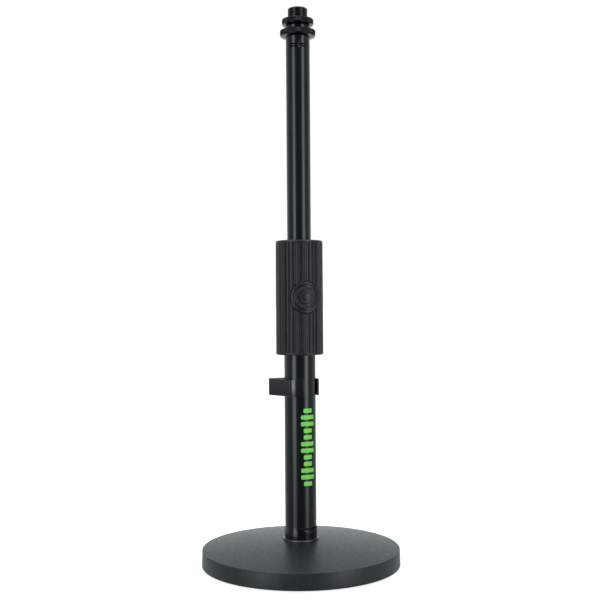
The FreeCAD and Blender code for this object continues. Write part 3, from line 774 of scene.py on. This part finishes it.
def clutch_shell():
    """The nut's shell, of which only the two ends show, and its end ring and wiper."""
    radius, bottom, top = extent("clutch_nut")
    outline = rounded([
        (15.5, bottom, 0.2), (radius, bottom, 0.2), (radius, top, 0.3), (12.5, top, 0.3),
        (12.5, 258.4, 0), (10.1, 258.4, 0), (10.1, 253.5, 0), (13.25, 253.5, 0),
        (13.25, 244.6, 0), (14.65, 244.6, 0), (14.65, 213.0, 0), (15.5, 213.0, 0)])
    turned("clutch_shell", outline, "clutch_nut", "clutch_metal", ["clutch_nut"])
    ring_out, ring_low, ring_top = extent("nut_end_ring")
    outline = rounded([(12.78, ring_low, 0.5), (ring_out, ring_low, 0.2),
                       (ring_out, ring_top, 0), (12.78, ring_top, 0)])
    turned("end_ring", outline, "clutch_nut", "clip_plastic", ["nut_end_ring"])
    wiper_out, wiper_low, wiper_top = extent("wiper_ring")
    outline = rounded([(9.75, wiper_low, 0), (wiper_out, wiper_low, 0),
                       (wiper_out, wiper_top, 0.3), (9.75, wiper_top, 0.6)])
    turned("wiper", outline, "clutch_nut", "clip_plastic", ["wiper_ring"])


# ---------------------------------------------------------------- head


def knurled(teeth, depth, height_low, height_high):
    """A shape function for a straight knurl that fades at the rounded edges."""
    def side(angle, out, height):
        tooth = 0.5 - 0.5 * math.cos(math.radians(angle * teeth))
        return out - depth * tooth * window(height_low + 0.5, height_high - 0.5, 0.5, height)
    return side


def top_collar():
    """Finely knurled ring, with a plain bevelled underside that runs in to the mast."""
    radius, low, top = extent("top_collar")
    mast_top = extent("upper_tube")[2]
    face_low, face_top = 428.2, 432.0
    neck, bore = extent("thread_insert")[0], 9.76
    corners = rounded([
        (neck, top, 0), (8.5, top, 0), (8.5, mast_top, 0), (bore, mast_top, 0),
        (bore, low, 0), (10.2, low, 0.15), (13.7, 427.2, 0.5),
        (radius, face_low, 0.4), (radius, face_top, 0.6)], 7)
    knurl = knurled(84, 0.2, face_low, face_top)

    def side(angle, out, height):
        return knurl(angle, out, height) if out > radius - 0.5 and height > face_low - 0.3 else out

    outline = with_side(corners, radius, steps(face_low, face_top, 0.25))
    turned("collar", outline, "mast", "knurl_coat", ["top_collar"], around=84 * 8,
           shape=side, crease=50)


def lock_nut():
    radius, bottom, top = extent("lock_nut")
    knurl = knurled(60, 0.3, bottom, top)

    def side(angle, out, height):
        return knurl(angle, out, height) if out > radius - 0.6 else out

    corners = rounded([(8.0, bottom, 0.3), (radius, bottom, 0.4),
                       (radius, top, 0.9), (8.0, top, 0.5)], 7)
    outline = with_side(corners, radius, steps(bottom, top, 0.25))
    turned("ring_nut", outline, "lock_nut", "knurl_coat", ["lock_nut"], around=60 * 10,
           shape=side, crease=60)


def lock_washer():
    """Thin washer under the nut, in the nut's own finish."""
    radius, bottom, top = extent("lock_washer")
    outline = rounded([(8.0, bottom, 0), (radius, bottom, 0.12), (radius, top, 0.12), (8.0, top, 0)])
    turned("nut_washer", outline, "lock_washer", "knurl_coat", ["lock_washer"])


def thread_insert():
    """Neck and microphone stud, with the thread's real helix at 27 turns to the inch."""
    neck_radius, bottom, top = extent("thread_insert")
    neck_low, neck_top = extent("top_collar")[2], 436.5
    plug, groove, major = 8.47, 7.3, 7.9375
    groove_low, groove_top = 416.0, 421.0
    pitch = 25.4 / 27
    depth = 0.28

    def side(angle, out, height):
        if height < neck_top + 0.3 or out < major - 0.05:
            return out
        turn = ((height - neck_top) / pitch - angle / 360) % 1.0
        flank = abs(2 * turn - 1)
        cut = smooth(0.45, 0.92, flank)
        return out - depth * cut * smooth(neck_top + 0.3, neck_top + 1.0, height)

    outline = [(0.5, bottom), (plug, bottom), (plug, groove_low), (groove, groove_low),
               (groove, groove_top), (plug, groove_top), (plug, neck_low - 0.5),
               (neck_radius - 0.3, neck_low + 0.01), (neck_radius, neck_low + 0.3)]
    outline += [(neck_radius, neck_top - 0.5), (neck_radius - 0.15, neck_top - 0.15),
                (neck_radius - 0.5, neck_top), (major, neck_top)]
    outline += [(major, z) for z in steps(neck_top + 0.2, top - 1.0, pitch / 10)]
    outline += [(major - 0.1, top - 0.8), (major - 0.5, top - 0.4), (major - 0.95, top - 0.05),
                (major - 1.2, top), (5.4, top), (5.1, top - 0.3), (5.1, top - 6.0)]
    turned("mic_stud", outline, "mast", "thread_coat", ["thread_insert"], around=144,
           closed=False, shape=side, crease=60)


# ---------------------------------------------------------------- studio


def floor():
    """Plain pale floor; gloss doesn't see it, as on a raised table with nothing before it."""
    mesh = bpy.data.meshes.new("floor")
    reach = 30.0
    mesh.from_pydata([(-reach, -reach, 0), (reach, -reach, 0), (reach, reach, 0), (-reach, reach, 0)],
                     [], [(0, 1, 2, 3)])
    ground = bpy.data.objects.new("floor", mesh)
    scene.collection.objects.link(ground)
    look = Look("pale_floor", (0.45, 0.45, 0.45), 0.9, Emission_Strength=0.8)
    look.shader.inputs["Emission Color"].default_value = (1, 1, 1, 1)
    look.color(look.noise(3, 2.0), [(0.3, (0.44, 0.44, 0.44)), (0.7, (0.46, 0.46, 0.46))])
    mesh.materials.append(look.material)
    ground.visible_glossy = False


class Sky:
    """The world's nodes: brightness by bearing, with two tall soft boxes and one overhead."""

    def __init__(self):
        scene.world = bpy.data.worlds.new("studio")
        scene.world.use_nodes = True
        self.tree = scene.world.node_tree
        self.tree.nodes.clear()
        place = self.tree.nodes.new("ShaderNodeTexCoord").outputs["Generated"]
        split = self.tree.nodes.new("ShaderNodeSeparateXYZ")
        self.tree.links.new(place, split.inputs[0])
        towards = self.math("MULTIPLY", split.outputs["Y"], -1.0)
        self.bearing = self.math("ARCTAN2", split.outputs["X"], towards)
        self.height = split.outputs["Z"]

    def math(self, kind, a, b=None):
        node = self.tree.nodes.new("ShaderNodeMath")
        node.operation = kind
        for socket, value in zip(node.inputs, (a, b)):
            if isinstance(value, (int, float)):
                socket.default_value = value
            elif value is not None:
                self.tree.links.new(value, socket)
        return node.outputs[0]

    def ease(self, value, start, stop, low, high):
        node = self.tree.nodes.new("ShaderNodeMapRange")
        node.interpolation_type = "SMOOTHSTEP"
        for name, number in (("From Min", start), ("From Max", stop), ("To Min", low), ("To Max", high)):
            node.inputs[name].default_value = number
        self.tree.links.new(value, node.inputs["Value"])
        return node.outputs["Result"]

    def soft_box(self, degrees, half_width, edge, strength):
        """A tall light that stands at a bearing from the front, towards +X."""
        off = self.math("ABSOLUTE", self.math("SUBTRACT", self.bearing, math.radians(degrees)))
        return self.ease(off, math.radians(half_width - edge), math.radians(half_width + edge),
                         strength, 0.0)

    def falling(self, light, stops):
        """A light that changes with elevation: stops of (degrees above level, share)."""
        level = self.math("ADD", self.math("MULTIPLY", self.height, 0.5), 0.5)
        shares = [(0.5 + 0.5 * math.sin(math.radians(degrees)), share) for degrees, share in stops]
        return self.math("MULTIPLY", light, self.ramp(level, shares))

    def ramp(self, value, stops):
        ramp = self.tree.nodes.new("ShaderNodeValToRGB")
        while len(ramp.color_ramp.elements) < len(stops):
            ramp.color_ramp.elements.new(0.5)
        for element, (place, level) in zip(ramp.color_ramp.elements, stops):
            element.position = place
            element.color = (level, level, level, 1)
        self.tree.links.new(value, ramp.inputs["Fac"])
        return ramp.outputs["Color"]

    def surround(self, stops):
        """Brightness by bearing from the front, the same on both sides."""
        turn = self.math("DIVIDE", self.math("ABSOLUTE", self.bearing), math.pi)
        return self.ramp(turn, [(degrees / 180, level) for degrees, level in stops])

    def finish(self, light, backdrop):
        shade = self.tree.nodes.new("ShaderNodeBackground")
        self.tree.links.new(light, shade.inputs["Strength"])
        shade.inputs["Color"].default_value = (0.92, 1.0, 1.0, 1)
        seen = self.tree.nodes.new("ShaderNodeBackground")
        seen.inputs["Color"].default_value = (1, 1, 1, 1)
        seen.inputs["Strength"].default_value = backdrop
        path = self.tree.nodes.new("ShaderNodeLightPath")
        mix = self.tree.nodes.new("ShaderNodeMixShader")
        self.tree.links.new(path.outputs["Is Camera Ray"], mix.inputs["Fac"])
        self.tree.links.new(shade.outputs[0], mix.inputs[1])
        self.tree.links.new(seen.outputs[0], mix.inputs[2])
        out = self.tree.nodes.new("ShaderNodeOutputWorld")
        self.tree.links.new(mix.outputs[0], out.inputs["Surface"])


def studio():
    sky = Sky()
    around = sky.surround([(0, 0.05), (20, 0.12), (36, 0.24), (90, 0.30), (112, 0.48),
                           (145, 0.62), (180, 1.0)])
    around = sky.falling(around, [(-50, 2.4), (-30, 1.7), (-18, 0.9), (-9, 1.0), (2, 1.4), (9, 1.25),
                                  (26, 0.70), (60, 0.5)])
    lamp = [(-17, 0.0), (-13.5, 0.30), (-9, 0.50), (-4, 1.0), (2, 0.8), (12, 0.72)]
    left = sky.falling(sky.soft_box(-43, 12, 5, 3.2), lamp)
    right = sky.falling(sky.soft_box(49, 12, 5, 3.2), lamp)
    overhead = sky.ease(sky.height, 0.70, 0.85, 0.0, 1.5)
    light = sky.math("ADD", sky.math("ADD", around, left), sky.math("ADD", right, overhead))
    sky.finish(light, 1.0)
    scene.view_settings.view_transform = "Standard"
    scene.view_settings.look = "None"
    scene.view_settings.exposure = 0.0


def camera():
    """Level with the grip, a little above the base, as the stand is usually shown."""
    lens_data = bpy.data.cameras.new("camera")
    lens_data.lens = 60.7
    lens_data.clip_start = 0.05
    lens_data.clip_end = 100
    eye = bpy.data.objects.new("camera", lens_data)
    scene.collection.objects.link(eye)
    shift = 0.45 * MM
    eye.location = (shift, -0.8194, 0.213)
    target = Vector((shift, 0, 0.2141))
    eye.rotation_mode = "QUATERNION"
    aim = (target - eye.location).to_track_quat("-Z", "Y")
    lean = Quaternion((0, 0, 1), math.radians(-0.38))
    eye.rotation_quaternion = aim @ lean
    scene.camera = eye


camera()
studio()
floor()
dress_frame()
base()
rubber_ring()
washer()
lower_tube()
marking()
upper_tube()
cable_clip()
grip()
badge()
clutch_shell()
top_collar()
thread_insert()
lock_washer()
lock_nut()
